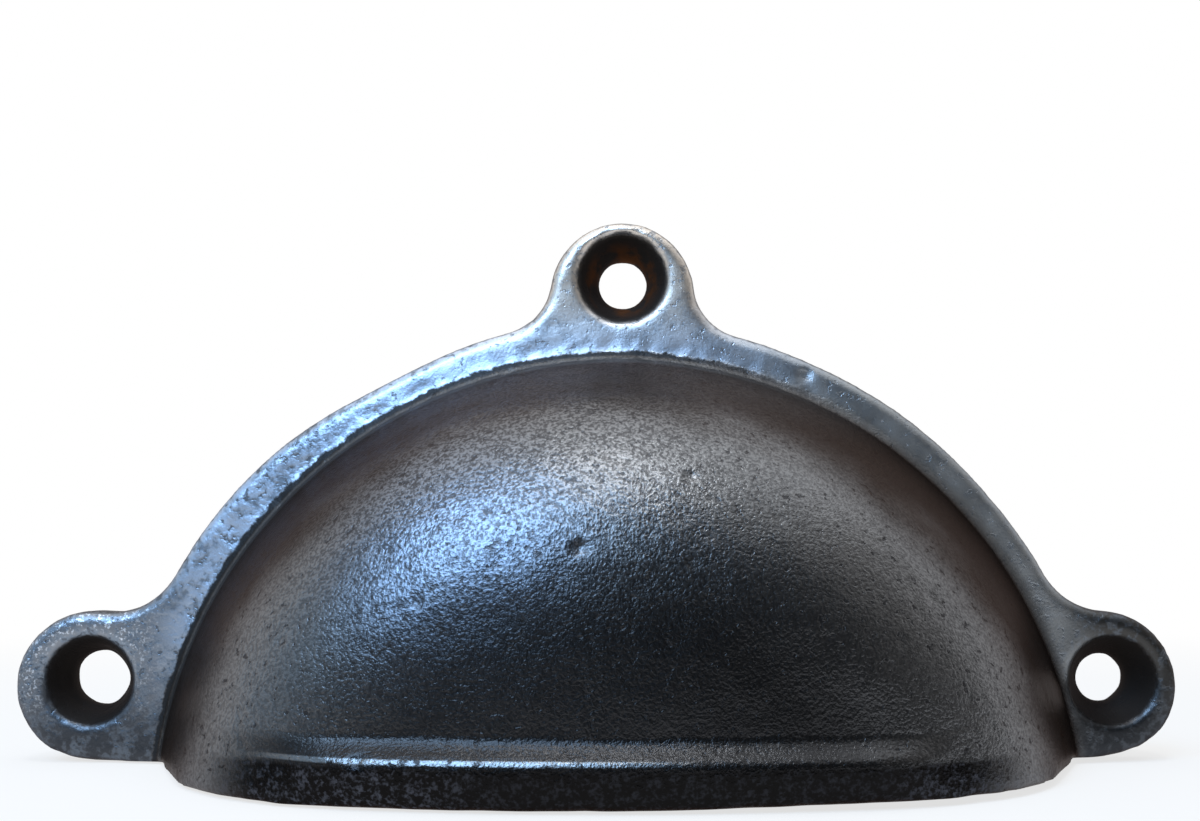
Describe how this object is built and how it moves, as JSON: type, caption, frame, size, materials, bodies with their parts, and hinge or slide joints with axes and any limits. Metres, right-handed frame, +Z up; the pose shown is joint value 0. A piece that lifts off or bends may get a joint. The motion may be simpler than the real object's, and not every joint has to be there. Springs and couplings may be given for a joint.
{
  "type": "cup pull",
  "caption": "Half-moon cup drawer pull in blackened cast iron: a domed finger cup with a raised lip along its mouth, on a flat flange with countersunk screw ears.",
  "frame": {"origin": "on the flat back, midway between the axes of the two side screw holes", "axes": "+X along the row of side screw holes, to the right for a person facing the drawer; +Y into the drawer front, square to the back; +Z up, away from the open mouth"},
  "size_m": [0.1014, 0.0282, 0.0472],
  "materials": {
    "iron": "as-cast, blackened and waxed to a soft sheen"
  },
  "bodies": {
    "root": {"cup_pull": "iron"}
  },
  "joints": []
}
